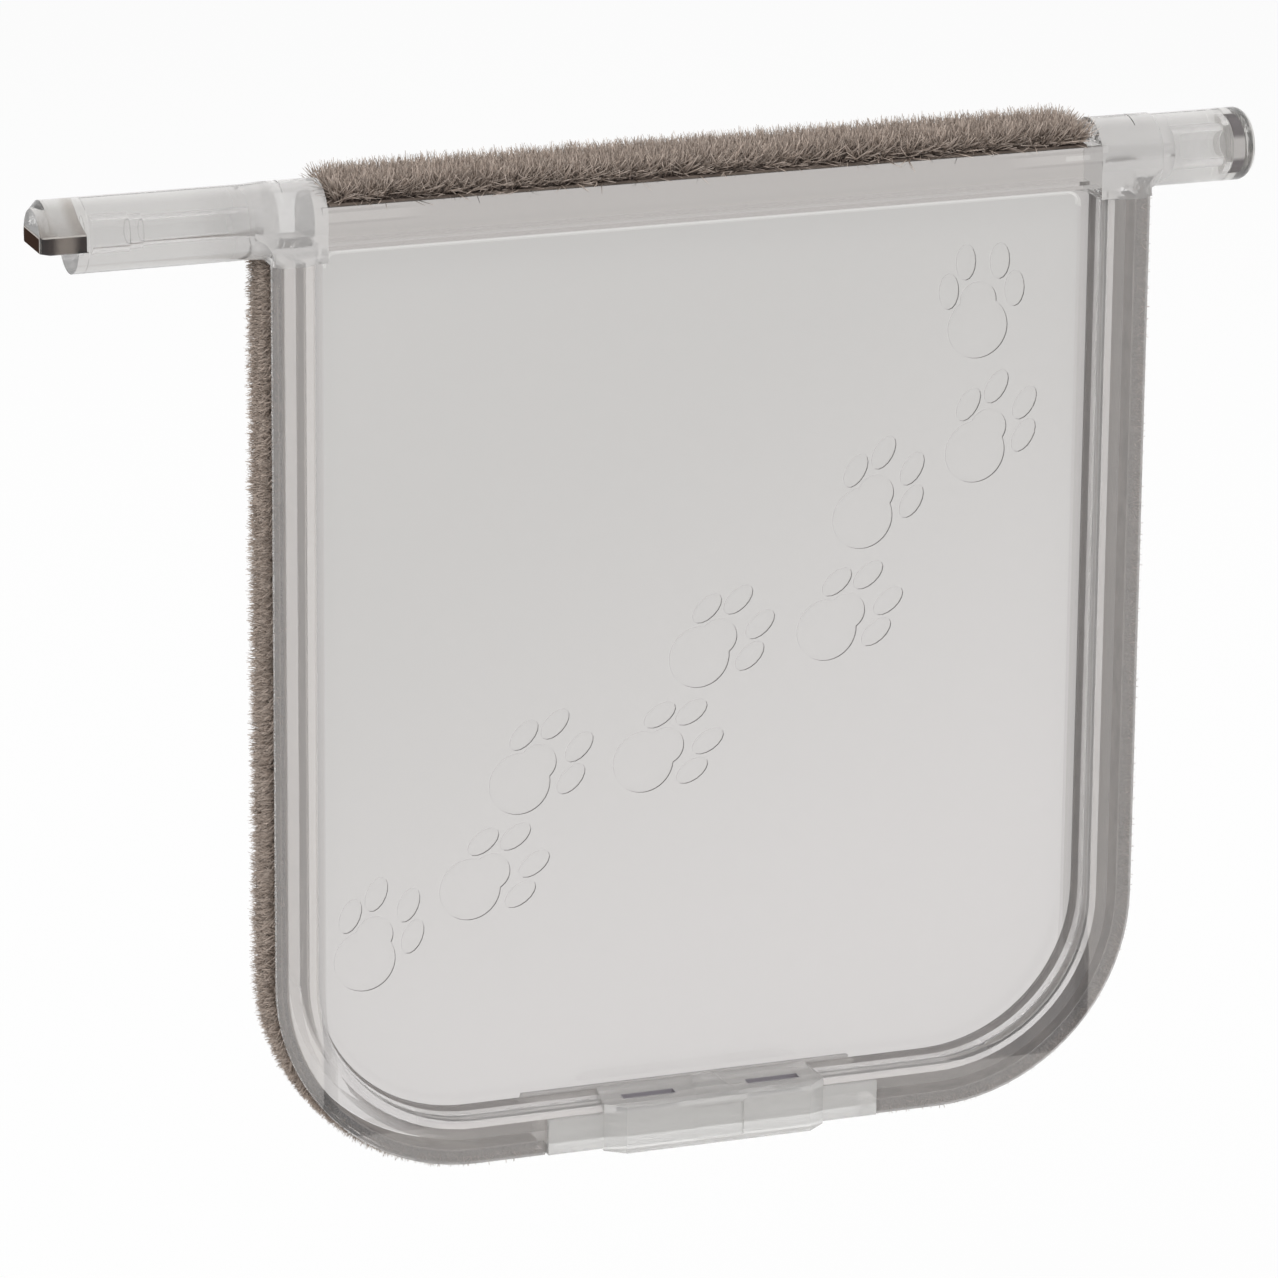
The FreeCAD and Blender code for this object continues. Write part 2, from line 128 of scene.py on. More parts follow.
def node(tree, kind, inputs=(), out=None, **settings):
    """Add a node with its properties, and its inputs in order or by name.

    Gives the node, or one of its outputs where `out` says which.
    """
    made = tree.nodes.new(kind)
    for name, value in settings.items():
        setattr(made, name, value)
    for key, value in inputs.items() if isinstance(inputs, dict) else enumerate(inputs):
        if isinstance(value, bpy.types.NodeSocket):
            tree.links.new(value, made.inputs[key])
        else:
            made.inputs[key].default_value = value
    return made if out is None else made.outputs[out]


# %% Start and end a material
PRINCIPLED = "ShaderNodeBsdfPrincipled"


def new_material(name):
    """A material with an empty tree, and that tree."""
    made = bpy.data.materials.new(name)
    made.use_nodes = True
    made.node_tree.nodes.clear()
    return made, made.node_tree


def finished(material, surface):
    """Join a surface to the material's output and say so."""
    node(material.node_tree, "ShaderNodeOutputMaterial", {"Surface": surface})
    print("material", material.name, "with", len(material.node_tree.nodes), "nodes")
    return material


# %% [markdown]
# ## Stage
# A product picture shows its object on pure white. A clear object shows what lies behind it, so
# the white has to be there for the rays that pass through it too, and not only for the camera. A
# cut-out background would leave the plastic grey. So the floor, well below the hanging leaf, and
# the world are white to rays from the camera and to those that a clear or shiny surface sends on.
# To all other rays they are plain and softer, which keeps the shading gentle. A tenth of the
# floor stays plain paper even to the camera, so that it can show a shadow.

# %% White to the rays that are seen
WHITE = (1, 1, 1, 1)


def seen_directly(tree):
    """1 for rays from the camera, a mirror or a clear surface, and 0 for the rest."""
    path = node(tree, "ShaderNodeLightPath").outputs
    seen = path["Is Camera Ray"]
    for kind in ("Is Glossy Ray", "Is Transmission Ray"):
        seen = node(tree, MATH, (seen, path[kind]), 0, operation="MAXIMUM")
    return seen


# %% Floor
FLOOR_Z = -0.32
FLOOR_HALF = 6.0
GLOWING_SHARE = 0.9

signs = ((-1, -1), (1, -1), (1, 1), (-1, 1))
corners = [(x * FLOOR_HALF, y * FLOOR_HALF, FLOOR_Z) for x, y in signs]
floor_mesh = bpy.data.meshes.new("floor")
floor_mesh.from_pydata(corners, [], [range(4)])
floor = bpy.data.objects.new("floor", floor_mesh)
bpy.context.scene.collection.objects.link(floor)

paper, tree = new_material("white_backdrop_paper")
shade = node(tree, "ShaderNodeBsdfDiffuse", {"Color": colour("#F2F2F2")}, 0)
glow = node(tree, "ShaderNodeEmission", {"Color": WHITE, "Strength": 1.0}, 0)
share = node(tree, MATH, (seen_directly(tree), GLOWING_SHARE), 0, operation="MULTIPLY")
mixed = node(tree, "ShaderNodeMixShader", (share, shade, glow), 0)
floor_mesh.materials.append(finished(paper, mixed))

# %% World
SOFT_SKY = 0.55

world = bpy.data.worlds.new("studio")
world.use_nodes = True
tree = world.node_tree
tree.nodes.clear()
soft = node(tree, "ShaderNodeBackground", {"Color": WHITE, "Strength": SOFT_SKY}, 0)
white = node(tree, "ShaderNodeBackground", {"Color": WHITE, "Strength": 1.0}, 0)
mixed = node(tree, "ShaderNodeMixShader", (seen_directly(tree), soft, white), 0)
node(tree, "ShaderNodeOutputWorld", {"Surface": mixed})
bpy.context.scene.world = world
print("world", world.name, "lights at", SOFT_SKY)

# %% [markdown]
# Three large soft lamps shape the light: a key from the upper left, a weak fill from the right,
# and a rim lamp from behind that lifts the edges. Small lamps would give hard glints. They are
# hidden from mirror-like and clear surfaces, so that no square lamp shows in the plastic.


# %% Lamps
def softbox(name, place, width, height, watts):
    """A large soft lamp that faces the leaf and isn't seen in or through the plastic."""
    lamp = bpy.data.lights.new(name, "AREA")
    lamp.shape = "RECTANGLE"
    lamp.size = width
    lamp.size_y = height
    lamp.energy = watts
    made = bpy.data.objects.new(name, lamp)
    made.location = place
    made.rotation_mode = "QUATERNION"
    made.rotation_quaternion = (AIM - Vector(place)).to_track_quat("-Z", "Y")
    made.visible_transmission = False
    made.visible_glossy = False
    bpy.context.scene.collection.objects.link(made)
    print(name, "lamp of", watts, "W,", width, "by", height, "m")


softbox("key", place=(-0.7, -1.0, 1.1), width=0.8, height=0.8, watts=14)
softbox("fill", place=(1.1, -0.7, 0.3), width=0.7, height=0.9, watts=5)
softbox("rim", place=(0.3, 1.1, 0.9), width=0.9, height=0.5, watts=6)

# %% [markdown]
# ## Where a tint lies
# One moulding can look different from place to place: thick walls look greyer, polished ones
# clearer, and a worn spot duller. An image could be painted for that, but it would need a
# flattened copy of the surface. This part is regular, so each tint is laid by measured places
# instead. `measures` gives a point's coordinates, its distances from mid-width and from the hinge
# line, and how far the surface faces each axis. `inside` is 1 where such measures lie in spans
# given in millimetres. The distances are never negative, so a span from -1 has no lower end.


# %% Measures of a point
def distance(tree, a, b):
    """The length of a step of a one way and b across it."""
    squares = [node(tree, MATH, (side, side), 0, operation="MULTIPLY") for side in (a, b)]
    total = node(tree, MATH, squares, 0, operation="ADD")
    return node(tree, MATH, (total,), 0, operation="SQRT")


def measures(tree):
    """A point's coordinates, its two distances, and how far its face looks along each axis."""
    found = node(tree, "ShaderNodeTexCoord").outputs
    spot = node(tree, "ShaderNodeSeparateXYZ", (found["Object"],)).outputs
    normal = node(tree, "ShaderNodeSeparateXYZ", (found["Normal"],)).outputs
    place = {"x": spot["X"], "y": spot["Y"], "z": spot["Z"]}
    place["across"] = node(tree, MATH, (spot["X"],), 0, operation="ABSOLUTE")
    for axis in ("X", "Y", "Z"):
        facing = node(tree, MATH, (normal[axis],), 0, operation="ABSOLUTE")
        place["facing_" + axis.lower()] = facing
    place["radius"] = distance(tree, spot["Y"], spot["Z"])
    return place


# %% Is a point inside a region
def inside(tree, place, **spans):
    """1 where each named measure lies in its span of millimetres, else 0."""
    share = 1.0
    for name, (low, high) in spans.items():
        above = node(tree, MATH, (place[name], low * MM), 0, operation="GREATER_THAN")
        below = node(tree, MATH, (place[name], high * MM), 0, operation="LESS_THAN")
        both = node(tree, MATH, (above, below), 0, operation="MULTIPLY")
        share = node(tree, MATH, (share, both), 0, operation="MULTIPLY")
    return share


def inside_any(tree, place, regions, share=0.0):
    """1 inside at least one region or where the share is 1."""
    for spans in regions:
        share = node(tree, MATH, (share, inside(tree, place, **spans)), 0, operation="MAXIMUM")
    return share


# %% [markdown]
# `layered` lays one colour after another, as a painter lays glazes: each has a share, from 0 to
# 1, of the place that it covers. Blender's Mix node has one pair of inputs for each type of data,
# and the pair for colours has the numbers 6 and 7, with output 2.


# %% Lay colours
def layered(tree, base, *layers):
    """Lay colours over a base by their shares, each a hex code or a socket."""
    for share, over in layers:
        below, above = (colour(c) if isinstance(c, str) else c for c in (base, over))
        base = node(tree, "ShaderNodeMix", {0: share, 6: below, 7: above}, 2, data_type="RGBA")
    return base


# %% Lengths of the leaf that the looks follow
EDGE_X = 75.0 * MM
BOTTOM_Z = -160.5 * MM
CORNER_R = 34.2 * MM
WALL_IN = 2.3 * MM


def past_corners(tree, place, half_x, edge_z, radius, way):
    """How far a point lies outside a plate with two round corners, above for way 1, else -1."""
    over_x = node(tree, MATH, (place["across"], half_x - radius), 0, operation="SUBTRACT")
    height = node(tree, MATH, (place["z"], way), 0, operation="MULTIPLY")
    over_z = node(tree, MATH, (height, way * edge_z - radius), 0, operation="SUBTRACT")
    sides = [node(tree, MATH, (side, 0.0), 0, operation="MAXIMUM") for side in (over_x, over_z)]
    return node(tree, MATH, (distance(tree, *sides), radius), 0, operation="SUBTRACT")


print("leaf", round(2 * EDGE_X / MM), "mm wide, to", round(BOTTOM_Z / MM, 1), "mm")

# %% [markdown]
# ## Clear plastic
# The leaf, the tongue and cap at its pivots, and the clip are injection-moulded acrylic. A
# moulding tool's polished steel gives it a smooth surface, so it is glossy. Its faint smoke could
# be a volume inside the plastic, but thin walls of many small triangles make that slow and noisy.
# Here the skins carry it: a ray is tinted as it enters and as it leaves, and a wall shows the
# base colour. The broad faces carry most of it, the edges little, and the bores none. A share of
# plain scattering, the missing part of the clearness, gives the slight milkiness.
#
# Where two clear pieces are bonded, where metal is moulded in, and where a strip is glued on,
# there is no air between them and so no mirror-like face. There the surface lets light straight
# through.

# %% Moulded clear acrylic
ACRYLIC_IOR = 1.49
BORES = (
    {"radius": (-1, 3.0), "x": (-103.4, 88.9)},
    {"radius": (-1, 4.5), "x": (-74.0, -67.5)},
)


def clear_acrylic(name, front, side, roughness, clearness, bonded=None):
    """Clear acrylic, with its tints, clearness and bonds given by functions of the place."""
    made, tree = new_material(name)
    place = measures(tree)
    flat_on = node(tree, RANGE, (place["facing_y"], 0.1, 0.6), 0, **SMOOTH)
    bores = inside_any(tree, place, BORES)
    tint = layered(tree, side(tree, place), (flat_on, front(tree, place)), (bores, "#FFFFFF"))
    inputs = {
        "Base Color": tint,
        "Roughness": roughness,
        "IOR": ACRYLIC_IOR,
        "Transmission Weight": clearness(tree, place),
    }
    surface = node(tree, PRINCIPLED, inputs, 0)
    if bonded:
        through = node(tree, "ShaderNodeBsdfTransparent", (), 0)
        surface = node(tree, "ShaderNodeMixShader", (bonded(tree, place), surface, through), 0)
    return finished(made, surface)


print("a wall of acrylic has an IOR of", ACRYLIC_IOR)

# %% [markdown]
# ## The leaf's own tints
# The picture shows a panel that is a little greyer towards its upper left, a painted highlight
# line under the bar that turns round at two upper corners, greyer margins beside it, and a darker
# bar. Near its ends the bar is cored, and a painted reflection of the core shows there as a lighter
# band over a thin line of painted shade, with one painted glint on the right. The rim is lighter
# and milkier, because much light is scattered in its narrow walls. The paw prints are sunken, and
# only their low walls are dark, with painted shade, as thin outlines.

# %% Regions of the leaf, in millimetres
RIM = (
    {"across": (67.4, 80), "z": (-170, -6.5)},
    {"z": (-170, -153)},
)
# The light line round the panel is a painted highlight.
PANEL_HIGHLIGHT_LINE = {"past_panel": (-0.5, 0), "z": (-8.5, -5)}
AROUND_PANEL = {"past_panel": (0, 200)}
BAR = {"across": (-1, 66), "z": (-4.4, 4)}
# Near the bar's ends: a painted reflection of the core, a line of painted shade under it, and a
# painted glint.
BAR_CORE_REFLECTION = {"across": (-1, 66), "z": (0.4, 1.8)}
UNDER_CORE_SHADE = {"across": (-1, 66), "z": (-0.1, 0.25)}
CORE_GLINT = {"x": (59.5, 63.8), "z": (0.7, 1.5)}
HUBS = {"across": (66, 90), "z": (-6.5, 7)}
HUBS_AND_ARMS = {"across": (66, 120), "z": (-6.5, 7)}
# The prints' low walls get painted shade.
PRINT_WALL_SHADE = {"across": (-1, 64), "y": (-0.02, 0.36), "z": (-150, -7)}
print("the rim starts", RIM[0]["across"][0], "mm from mid-width")

# %% Shares of the panel and the bar
PANEL_HALF_X = 65.0 * MM
PANEL_TOP_Z = -5.9 * MM
PANEL_R = 2.2 * MM
GREY_SLANT = 0.4
GREY_Z = (-150 * MM, -15 * MM)
MARGIN_X = (65.0 * MM, 67.4 * MM)
# The painted reflection and shade of the bar's core fade in over this span.
CORE_FADE_X = (48 * MM, 56 * MM)


def greyer_share(tree, place):
    """Rises from 0 at the panel's lower right to 1 at its upper left."""
    slant = node(tree, MATH, (place["x"], GREY_SLANT), 0, operation="MULTIPLY")
    slope = node(tree, MATH, (place["z"], slant), 0, operation="SUBTRACT")
    return node(tree, RANGE, (slope, *GREY_Z), 0, **SMOOTH)


def near_bar_ends(tree, place, spans):
    """The share of a region of the bar that fades in towards both ends."""
    fade = node(tree, RANGE, (place["across"], *CORE_FADE_X), 0, **SMOOTH)
    return node(tree, MATH, (fade, inside(tree, place, **spans)), 0, operation="MULTIPLY")


print("the bar's core fades in from", round(CORE_FADE_X[0] / MM), "mm")


# %% Tints of the leaf
def leaf_front(tree, place):
    """The broad faces: panel, its painted highlight line and margins, bar, arms and rim."""
    place["past_panel"] = past_corners(tree, place, PANEL_HALF_X, PANEL_TOP_Z, PANEL_R, 1)
    outer = node(tree, RANGE, (place["across"], *MARGIN_X), 0, **SMOOTH)
    return layered(
        tree,
        "#DBD8D7",
        (greyer_share(tree, place), "#CFCDCB"),
        # painted highlight line round the panel
        (inside(tree, place, **PANEL_HIGHLIGHT_LINE), "#E8E6E4"),
        (inside(tree, place, **AROUND_PANEL), layered(tree, "#C8C5C3", (outer, "#B8B5B4"))),
        (inside(tree, place, **BAR), "#C0BCB9"),
        # painted reflection, painted shade line and painted glint of the bar's core
        (near_bar_ends(tree, place, BAR_CORE_REFLECTION), "#CDC9C6"),
        (near_bar_ends(tree, place, UNDER_CORE_SHADE), "#B5B1AE"),
        (inside(tree, place, **CORE_GLINT), "#E6E3E0"),
        (inside(tree, place, **HUBS_AND_ARMS), "#CFCDCB"),
        (inside_any(tree, place, RIM), "#DAD6D3"),
    )


def leaf_side(tree, place):
    """The edges are faintly grey, and the low walls of the prints darker with painted shade."""
    return layered(tree, "#EFEDEB", (inside(tree, place, **PRINT_WALL_SHADE), "#8E8C8A"))


# %% Clearness of the leaf
CLEAREST = 0.9
RIM_MILK = 0.14
HUB_MILK = 0.25
HUB_FADE_X = (88 * MM, 76 * MM)


def leaf_clearness(tree, place):
    """Clearest in the panel and arms, milkier in the rim and towards the hubs."""
    rim = node(tree, MATH, (inside_any(tree, place, RIM), RIM_MILK), 0, operation="MULTIPLY")
    fade = node(tree, RANGE, (place["across"], *HUB_FADE_X), 0, **SMOOTH)
    near = node(tree, MATH, (inside(tree, place, **HUBS), fade), 0, operation="MULTIPLY")
    milk = node(tree, MATH, (near, HUB_MILK, rim), 0, operation="MULTIPLY_ADD")
    return node(tree, MATH, (CLEAREST, milk), 0, operation="SUBTRACT")


print("clearness from", round(CLEAREST - HUB_MILK, 2), "at the hubs to", CLEAREST)

# %% Bonds of the leaf
SEAMS = (
    {"radius": (-1, 9.0), "x": (-104.82, -104.78)},
    {"radius": (-1, 9.0), "x": (88.98, 89.02)},
    {"radius": (-1, 2.3), "x": (-104.7, -103.4)},
)
SIDE_Y = (-3.26 * MM, 6.0 * MM)
SIDE_STOP_X = 30.0 * MM
GLUED = {
    "off_wall": (-0.08, 0.08),
    "y": (SIDE_Y[0] / MM - 0.1, SIDE_Y[1] / MM - 0.05),
    "across": (SIDE_STOP_X / MM, 80),
}


def leaf_bonds(tree, place):
    """1 on the seams to the tongue and cap, and on the wall that a side strip is glued to."""
    wall = (EDGE_X - WALL_IN, BOTTOM_Z + WALL_IN, CORNER_R - WALL_IN)
    place["off_wall"] = past_corners(tree, place, *wall, -1)
    return inside_any(tree, place, (GLUED, *SEAMS))


leaf_acrylic = clear_acrylic(
    "moulded_clear_acrylic", leaf_front, leaf_side, 0.03, leaf_clearness, leaf_bonds
)

# %% [markdown]
# ## Tongue and cap
# The left arm ends in a half-round tongue with a steel plate moulded into it, and the right stub
# in a domed cap with a steel slug. Both are the same glossy acrylic as the leaf but separate
# mouldings, so they have a material of their own. The pockets round the metal count as bonded, so
# the metal is seen as if cast in, and the plastic before the plate is quite clear.

# %% Material of the tongue and cap
POCKETS = (
    {"radius": (-1, 4.74), "x": (-112.35, -104.85)},
    {"radius": (-1, 3.2), "x": (90.2, 92.4)},
)
BEFORE_PLATE = {"x": (-113, -104.6), "z": (-10, 1.3)}


def pivot_clearness(tree, place):
    """Slightly milky, and quite clear in front of the plate."""
    before = inside(tree, place, **BEFORE_PLATE)
    return node(tree, MATH, (before, 1 - CLEAREST, CLEAREST), 0, operation="MULTIPLY_ADD")


pivot_acrylic = clear_acrylic(
    "moulded_pivot_acrylic",
    lambda tree, place: colour("#CFCDCA"),
    lambda tree, place: colour("#F0EEEC"),
    0.03,
    pivot_clearness,
    lambda tree, place: inside_any(tree, place, SEAMS + POCKETS),
)

# %% [markdown]
# ## Clip
# The clip on the bottom rim is acrylic as well, but rubbed dull by the floor of the tunnel, so it
# is rougher and milkier than the leaf and its glints are broad and soft. Its two narrow grooves
# read as dark bars. That darkness is painted shade: a dark, cloudy tint, nearly opaque, on their
# walls and floors.

# %% Material of the clip
GROOVES = {"across": (6.3, 15.6), "y": (-5.85, -4.25), "z": (-152.7, -151.0)}
LEDGE = {"z": (-153.4, -150)}
# Painted shade for the walls and floors of the grooves.
GROOVE_SHADE = "#8F8B90"
RUBBED_CLEARNESS = 0.7
GROOVE_CLEARNESS = 0.05


def clip_front(tree, place):
    """The broad faces and the painted shade in the grooves."""
    return layered(tree, "#F2F1EF", (inside(tree, place, **GROOVES), GROOVE_SHADE))


def clip_side(tree, place):
    """The upper faces, greyer on the ledge, and the painted shade in the grooves."""
    ledge = (inside(tree, place, **LEDGE), "#E9E7E5")
    return layered(tree, "#F6F5F3", ledge, (inside(tree, place, **GROOVES), GROOVE_SHADE))


def clip_clearness(tree, place):
    """Mostly clear, and nearly opaque in the grooves, so that their painted shade shows."""
    lost = GROOVE_CLEARNESS - RUBBED_CLEARNESS
    grooves = inside(tree, place, **GROOVES)
    return node(tree, MATH, (grooves, lost, RUBBED_CLEARNESS), 0, operation="MULTIPLY_ADD")


clip_acrylic = clear_acrylic("rubbed_clear_acrylic", clip_front, clip_side, 0.12, clip_clearness)

# %% [markdown]
# ## Metal
# The plate in the tongue is sheared steel, and its reflections are painted into its colour: near
# black where it faces the end, grey in the middle of its front, and bright along two edges and on
# top, where it is seen through the tongue as a painted soft highlight. The slug in the cap is plain
# turned steel, with a painted satin sheen that is bright along its middle and darker above and
# below. Metals reflect more at a grazing angle. A worn, oxidised skin does so less, and the
# specular tint keeps that edge reflection low.


# %% Steel
def steel(name, tint, roughness):
    """Steel with a tint given by a function of the place."""
    made, tree = new_material(name)
    inputs = {
        "Base Color": tint(tree, measures(tree)),
        "Roughness": roughness,
        "Metallic": 1.0,
        "Specular Tint": colour("#B0ABA8"),
    }
    return finished(made, node(tree, PRINCIPLED, inputs, 0))


# %% Plate with painted reflections
# The grey band across the middle of the plate's front is a painted reflection.
PLATE_MIDDLE_X = -108.3 * MM
PLATE_FADE = (2.6 * MM, 0.6 * MM)
# Painted highlights along two edges and over the top of the plate.
PLATE_EDGE_HIGHLIGHTS = (
    {"x": (-120, -112.0), "y": (-10, -4.1)},
    {"z": (0.9, 10)},
)


def plate_painted_reflections(tree, place):
    """Painted reflections: dark at the plate's end, grey mid-front, bright on top and at its edges.
    """
    off = node(tree, MATH, (place["x"], PLATE_MIDDLE_X), 0, operation="SUBTRACT")
    off = node(tree, MATH, (off,), 0, operation="ABSOLUTE")
    middle = node(tree, RANGE, (off, *PLATE_FADE), 0, **SMOOTH)
    end = node(tree, RANGE, (place["facing_x"], 0.4, 0.8), 0, **SMOOTH)
    upward = node(tree, RANGE, (place["facing_z"], 0.4, 0.8), 0, **SMOOTH)
    return layered(
        tree,
        "#2C1D18",
        (middle, "#968D86"),
        (end, "#35251E"),
        (inside_any(tree, place, PLATE_EDGE_HIGHLIGHTS), "#E4E0DC"),
        (upward, layered(tree, "#DCD7D2", (middle, "#FFFFFF"))),
    )


plate_steel = steel("sheared_steel_painted_reflections", plate_painted_reflections, 0.25)


# %% Turned slug
def slug_painted_sheen(tree, place):
    """Painted sheen: dark above and below, bright along the middle and at both ends."""
    upward = node(tree, RANGE, (place["facing_z"], 0.35, 0.6), 0, **SMOOTH)
    end = node(tree, RANGE, (place["facing_x"], 0.4, 0.8), 0, **SMOOTH)
    # The dark bands and the bright middle and ends are a painted sheen.
    return layered(tree, "#E6E3E3", (upward, "#6A6266"), (end, "#FFFFFF"))


slug_steel = steel("turned_steel", slug_painted_sheen, 0.35)

# %% [markdown]
# A CAD piece keeps its mesh. It gets a better look just by having its material slots filled anew.

# %% Put the materials on the rigid pieces
for name, material in {
    "leaf": leaf_acrylic,
    "left_pivot_plug": pivot_acrylic,
    "right_pivot_cap": pivot_acrylic,
    "bottom_clip": clip_acrylic,
    "left_pivot_plate": plate_steel,
    "right_pivot_slug": slug_steel,
}.items():
    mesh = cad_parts[name].data
    mesh.materials.clear()
    mesh.materials.append(material)
    print(name, len(mesh.polygons), "faces of", material.name)

# %% [markdown]
# ## Pile
# The draught strips are woven tape with a dense cut nylon pile, as on a sliding window. The CAD
# part has them as plain bars. Hair curves could be used, but a plain mesh is what is handed on,
# so each fibre is a narrow, bent blade of two quads. A real fibre is about 0.05 mm thick, which
# is far too fine to show, since a pixel of the picture covers about 0.16 mm. The blades are drawn
# 0.25 mm wide, and there are fewer of them.
#
# The pile is matt, darker at the root, where little light comes, and paler at the cut tips. Each
# fibre has a tone of its own, and clumps of about 1.5 mm share another.

# %% Pile material
CLUMP_SIZE = 1.54 * MM
NOISE = "ShaderNodeTexNoise"


def cut_nylon(name, dimmest, brightest):
    """Cut nylon pile whose tone varies between two factors."""
    made, tree = new_material(name)
    along = node(tree, "ShaderNodeAttribute", (), "Fac", attribute_name="along")
    own = node(tree, "ShaderNodeAttribute", (), "Fac", attribute_name="own")
    rising = node(tree, RANGE, (along, 0.0, 0.5), 0, **SMOOTH)
    nearing_tip = node(tree, RANGE, (along, 0.45, 1.0), 0, **SMOOTH)
    tone = layered(tree, "#5E524B", (rising, "#8A7D73"), (nearing_tip, "#B4A79D"))
    spot = node(tree, "ShaderNodeTexCoord", (), "Object")
    pattern = {"Vector": spot, "Scale": 1 / CLUMP_SIZE, "Detail": 2.0, "Roughness": 0.6}
    both = node(tree, MATH, (node(tree, NOISE, pattern, "Fac"), own), 0, operation="ADD")
    factor = node(tree, RANGE, (both, 0.4, 1.6, dimmest, brightest), 0)
    toned = node(tree, "ShaderNodeHueSaturation", {"Value": factor, "Color": tone}, 0)
    inputs = {"Base Color": toned, "Roughness": 0.85}
    return finished(made, node(tree, PRINCIPLED, inputs, 0))


top_nylon = cut_nylon("cut_nylon_top", dimmest=0.62, brightest=1.52)
side_nylon = cut_nylon("cut_nylon_side", dimmest=0.9, brightest=1.3)

# %% [markdown]
# The tape under the pile is seen through the rim, as a dull brown band with slow changes where
# the glue took better or worse. Its weave is finer than a pixel, so it isn't drawn. The three
# strips lie in different light and each has its own pair of browns.

# %% Tape material
GLUE_PATCH = 6.25 * MM


def woven_tape(name, dark, light):
    """Woven polyester tape with slow patches between two browns."""
    made, tree = new_material(name)
    spot = node(tree, "ShaderNodeTexCoord", (), "Object")
    pattern = {"Vector": spot, "Scale": 1 / GLUE_PATCH, "Detail": 3.0}
    patch = node(tree, RANGE, (node(tree, NOISE, pattern, "Fac"), 0.35, 0.65), 0, **SMOOTH)
    inputs = {"Base Color": layered(tree, dark, (patch, light)), "Roughness": 0.8}
    return finished(made, node(tree, PRINCIPLED, inputs, 0))


left_tape = woven_tape("woven_tape_left", "#9C928B", "#BAB0A9")
right_tape = woven_tape("woven_tape_right", "#7F736C", "#9E938B")
top_tape = woven_tape("woven_tape_top", "#5E534C", "#74685F")

# %% [markdown]
# ## Growing the fibres
# Placing more than a hundred thousand fibres by hand is out of the question, and a particle
# system is hard to turn into a plain mesh. A Geometry Nodes tree does it in five steps: scatter
# points on a ground face, make one blade, turn the copies by chance and in tufts, stretch each to
# its own length, and realise them as one mesh. Its inputs are named, and its seeds are fixed, so
# every run gives the same pile. The cells below build it bit by bit.

# %% Named inputs of the fibre tree
fibres = bpy.data.node_groups.new("fibres", "GeometryNodeTree")
for label, kind in {
    "Geometry": "Geometry",
    "Density": "Float",
    "Length": "Float",
    "Width": "Float",
    "Bend": "Float",
    "Lean": "Float",
    "Tuft Lean": "Float",
    "Seed": "Int",
    "Material": "Material",
}.items():
    fibres.interface.new_socket(label, in_out="INPUT", socket_type="NodeSocket" + kind)
fibres.interface.new_socket("Geometry", in_out="OUTPUT", socket_type="NodeSocketGeometry")
given = node(fibres, "NodeGroupInput").outputs
print("fibre inputs:", [item.name for item in fibres.interface.items_tree][1:])

# %% One blade
TIP_NARROWING = 0.7


def blade(tree):
    """A strip of unit height and two quads, narrowed and bowed as it rises."""
    size = {"Size X": 1.0, "Size Y": 1.0, "Vertices X": 2, "Vertices Y": 3}
    plate = node(tree, "GeometryNodeMeshGrid", size, "Mesh")
    spot = node(tree, "GeometryNodeInputPosition", (), 0)
    flat = node(tree, "ShaderNodeSeparateXYZ", (spot,)).outputs
    rise = node(tree, MATH, (flat["Y"], 0.5), 0, operation="ADD")
    taper = node(tree, MATH, (rise, -TIP_NARROWING, 1.0), 0, operation="MULTIPLY_ADD")
    half = node(tree, MATH, (flat["X"], taper), 0, operation="MULTIPLY")
    half = node(tree, MATH, (half, given["Width"]), 0, operation="MULTIPLY")
    bow = node(tree, MATH, (rise, rise), 0, operation="MULTIPLY")
    bow = node(tree, MATH, (bow, given["Bend"]), 0, operation="MULTIPLY")
    shaped = {
        "Geometry": plate,
        "Position": node(tree, "ShaderNodeCombineXYZ", (half, bow, rise), 0),
    }
    return node(tree, "GeometryNodeSetPosition", shaped, "Geometry")


def with_height(tree, geometry):
    """Keep each point's height on the blade, which the pile's colour follows."""
    spot = node(tree, "GeometryNodeInputPosition", (), 0)
    height = node(tree, "ShaderNodeSeparateXYZ", (spot,), "Z")
    kept = {"Geometry": geometry, "Name": "along", "Value": height}
    return node(tree, "GeometryNodeStoreNamedAttribute", kept, 0, data_type="FLOAT", domain="POINT")


fibre = with_height(fibres, blade(fibres))
print("blade made with", len(fibres.nodes), "nodes")

# %% Turn by chance and in tufts
TUFT_SIZE = 1.11 * MM
TURN_SEED = 11


def turned(tree, rotation):
    """Turn each blade with its tuft, and then a little by itself."""
    field = node(tree, NOISE, {"Scale": 1 / TUFT_SIZE, "Detail": 1.0}, "Color")
    middle = (0.5, 0.5, 0.5)
    centred = node(tree, "ShaderNodeVectorMath", (field, middle), 0, operation="SUBTRACT")
    scaled = {0: centred, "Scale": given["Tuft Lean"]}
    swept = node(tree, "ShaderNodeVectorMath", scaled, 0, operation="SCALE")
    lean = given["Lean"]
    less = node(tree, MATH, (lean, -1.0), 0, operation="MULTIPLY")
    spread = {
        "Min": node(tree, "ShaderNodeCombineXYZ", (less, less, -math.pi), 0),
        "Max": node(tree, "ShaderNodeCombineXYZ", (lean, lean, math.pi), 0),
        "Seed": TURN_SEED,
    }
    own = node(tree, "FunctionNodeRandomValue", spread, 0, data_type="FLOAT_VECTOR")
    for angles in (swept, own):
        turns = (rotation, node(tree, "FunctionNodeEulerToRotation", (angles,), 0))
        rotation = node(tree, "FunctionNodeRotateRotation", turns, 0, rotation_space="LOCAL")
    return rotation


# %% [markdown]
# A Random Value node, too, has one pair of inputs for each type of data. Plain numbers use the
# inputs 2 and 3, for the lowest and the highest, and output 1.

# %% Plant the blades
SHORTEST_SHARE = 0.7
REACH_SEED = 5

